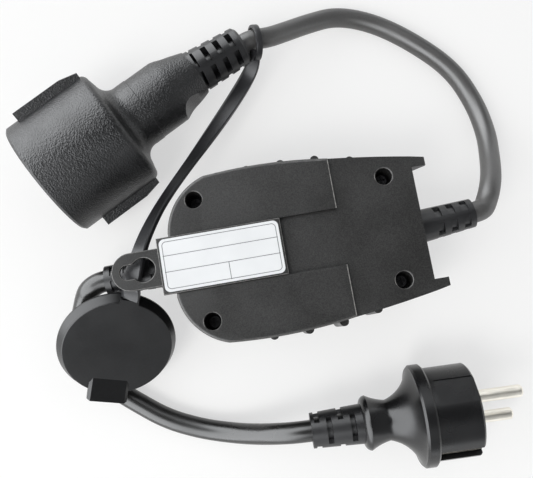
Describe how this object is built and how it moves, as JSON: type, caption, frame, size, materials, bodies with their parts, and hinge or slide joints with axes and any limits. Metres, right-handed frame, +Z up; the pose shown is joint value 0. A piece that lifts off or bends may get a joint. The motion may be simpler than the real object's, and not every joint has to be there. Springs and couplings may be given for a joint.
{
  "type": "in-line outdoor timer",
  "caption": "Splash-proof in-line mains timer box with a sliding keyhole hanger, a display under a hinged cover, a short lead to a plug and a short lead to a capped socket.",
  "frame": {"origin": "on the table, under the middle of the casing and its pulled-out hanger", "axes": "+X along the casing towards its eared end and the socket's lead, +Z up out of the casing's back"},
  "size_m": [0.202, 0.1992, 0.0506],
  "materials": {
    "casing_plastic": "fine-grained black moulding",
    "seal_rubber": "soft black seal",
    "zinc_steel": "zinc-plated",
    "label_white": "smooth white film, ruled, no lettering",
    "clear_cover": "clear moulded plastic",
    "window_clear": "clear",
    "lcd_glass": "grey-green display",
    "white_plastic": "natural plastic",
    "button_grey": "grey",
    "button_red": "red",
    "silicone": "translucent grey",
    "sensor_resin": "amber resin",
    "lamp_green": "green resin",
    "board_green": "solder mask",
    "relay_black": "black",
    "capacitor_yellow": "yellow",
    "capacitor_sleeve": "dark blue sleeve",
    "varistor_blue": "blue",
    "fuse_ceramic": "ceramic",
    "nickel": "nickel-plated",
    "core_insulation": "insulated cores",
    "moulded_rubber": "black moulded rubber, fine grain",
    "cord_rubber": "satin black sheath",
    "insert_plastic": "black",
    "brass": "plain",
    "cap_rubber": "soft black rubber"
  },
  "bodies": {
    "casing": {"rear_cover": "casing_plastic", "front_shell": "casing_plastic", "casing_seal": "seal_rubber", "casing_screws": "zinc_steel", "cover_hinge_pin": "zinc_steel", "display_window": "window_clear", "lcd_panel": "lcd_glass", "lcd_frame": "white_plastic", "button_mat": "silicone", "sensor_window": "window_clear", "light_sensor": "sensor_resin", "status_lamp": "lamp_green", "control_board": "board_green", "power_board": "board_green", "board_screws": "zinc_steel", "relay": "relay_black", "mains_capacitor": "capacitor_yellow", "smoothing_capacitor": "capacitor_sleeve", "varistor": "varistor_blue", "fuse": "fuse_ceramic", "backup_battery": "nickel", "board_link": "relay_black", "terminal_in": "white_plastic", "terminal_out": "white_plastic", "inner_cores": "core_insulation", "cord_clamps": "white_plastic", "clamp_screws": "zinc_steel", "gland_in": "moulded_rubber", "gland_out": "moulded_rubber", "sheath_ends": "cord_rubber", "coupling_body": "moulded_rubber", "coupling_bend_relief": "moulded_rubber", "coupling_insert": "insert_plastic", "coupling_contacts": "brass", "coupling_earth_clips": "nickel", "plug_body": "moulded_rubber", "plug_bend_relief": "moulded_rubber", "plug_bridge": "insert_plastic", "plug_pins": "nickel", "plug_earth_contacts": "nickel", "cap_strap": "cap_rubber", "lead_out": "cord_rubber", "lead_in": "cord_rubber"},
    "hanger": {"hanger_slide": "casing_plastic", "rating_label": "label_white"},
    "cover": {"display_cover": "clear_cover"},
    "clock_key": {"clock_button": "button_grey"},
    "day_key": {"day_button": "button_grey"},
    "hour_key": {"hour_button": "button_grey"},
    "minute_key": {"minute_button": "button_grey"},
    "manual_key": {"manual_button": "button_red"},
    "cap": {"cap_lid": "cap_rubber"}
  },
  "joints": [
    {"name": "hanger_slide_travel", "type": "slide", "parent": "casing", "child": "hanger", "axis": [1, 0, 0], "range_m": [0, 0.0215]},
    {"name": "cover_hinge", "type": "hinge", "parent": "casing", "child": "cover", "pos_m": [0.03565, 0, 0.002], "axis": [0, -1, 0], "range_deg": [0, 105]},
    {"name": "clock_press", "type": "slide", "parent": "casing", "child": "clock_key", "axis": [0, 0, 1], "range_m": [0, 0.0008], "stiffness_N_per_m": 1500},
    {"name": "day_press", "type": "slide", "parent": "casing", "child": "day_key", "axis": [0, 0, 1], "range_m": [0, 0.0008], "stiffness_N_per_m": 1500},
    {"name": "hour_press", "type": "slide", "parent": "casing", "child": "hour_key", "axis": [0, 0, 1], "range_m": [0, 0.0008], "stiffness_N_per_m": 1500},
    {"name": "minute_press", "type": "slide", "parent": "casing", "child": "minute_key", "axis": [0, 0, 1], "range_m": [0, 0.0008], "stiffness_N_per_m": 1500},
    {"name": "manual_press", "type": "slide", "parent": "casing", "child": "manual_key", "axis": [0, 0, 1], "range_m": [0, 0.0008], "stiffness_N_per_m": 1500},
    {"name": "cap_swing", "type": "hinge", "parent": "casing", "child": "cap", "pos_m": [-0.05794, -0.00967, 0.03597], "axis": [-0.8859, 0.2644, 0.381], "range_deg": [0, 60]}
  ]
}
